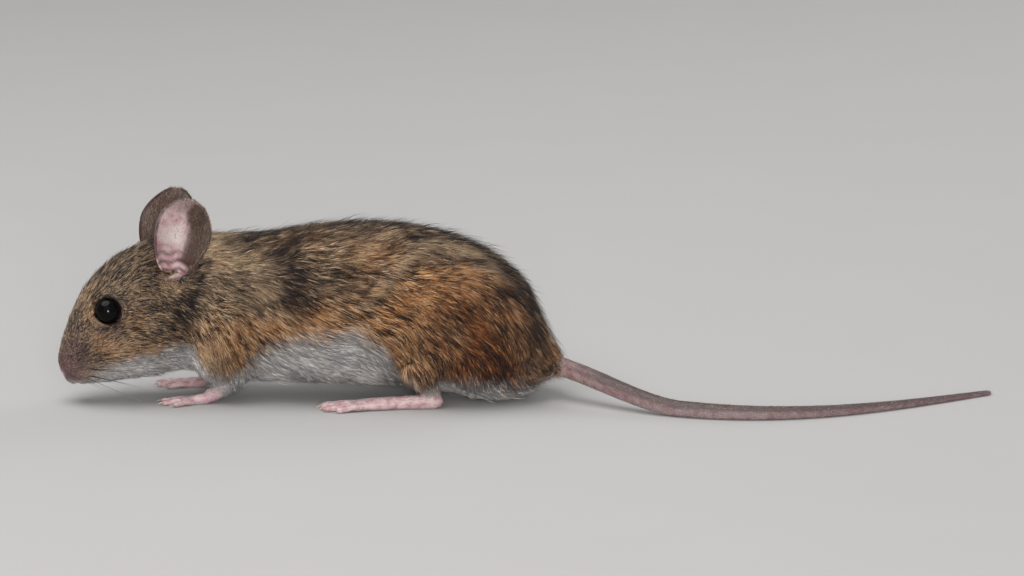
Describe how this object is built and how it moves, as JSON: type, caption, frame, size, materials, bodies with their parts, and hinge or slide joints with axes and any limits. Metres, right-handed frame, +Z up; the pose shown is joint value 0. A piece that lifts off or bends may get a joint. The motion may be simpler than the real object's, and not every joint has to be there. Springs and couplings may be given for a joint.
{
  "type": "field mouse",
  "caption": "Still, life-size model of an adult field mouse, standing low on four feet with its nose near the ground and its long tail laid behind.",
  "frame": {"origin": "middle of the model's box, on the ground that the feet and the tail stand on", "axes": "+X from the head to the tail, +Z up, so the mouse's left side faces -Y"},
  "size_m": [0.1816, 0.0384, 0.0407],
  "materials": {
    "coat_brown": "short brown fur with dark and buff hair tips, pale grey below",
    "coat_orange": "short orange-brown fur on the thighs and upper arms",
    "ear_skin": "thin soft skin, pink inside, with very short hair",
    "foot_skin": "soft pink skin with fine pale hair",
    "nose_skin": "moist pink skin",
    "tail_skin": "finely ringed skin with very short hair",
    "eye": "wet, glossy black"
  },
  "bodies": {
    "root": {"head": "coat_brown", "nose": "nose_skin", "neck": "coat_brown", "trunk": "coat_brown", "eye_left": "eye", "eye_right": "eye", "ear_left": "ear_skin", "ear_right": "ear_skin", "upper_arm_left": "coat_orange", "upper_arm_right": "coat_orange", "forearm_left": "foot_skin", "forearm_right": "foot_skin", "fore_paw_left": "foot_skin", "fore_paw_right": "foot_skin", "thigh_left": "coat_orange", "thigh_right": "coat_orange", "shank_left": "coat_orange", "shank_right": "coat_orange", "hind_foot_left": "foot_skin", "hind_foot_right": "foot_skin", "tail_1": "tail_skin", "tail_2": "tail_skin", "tail_3": "tail_skin", "tail_4": "tail_skin", "tail_5": "tail_skin"}
  },
  "joints": []
}
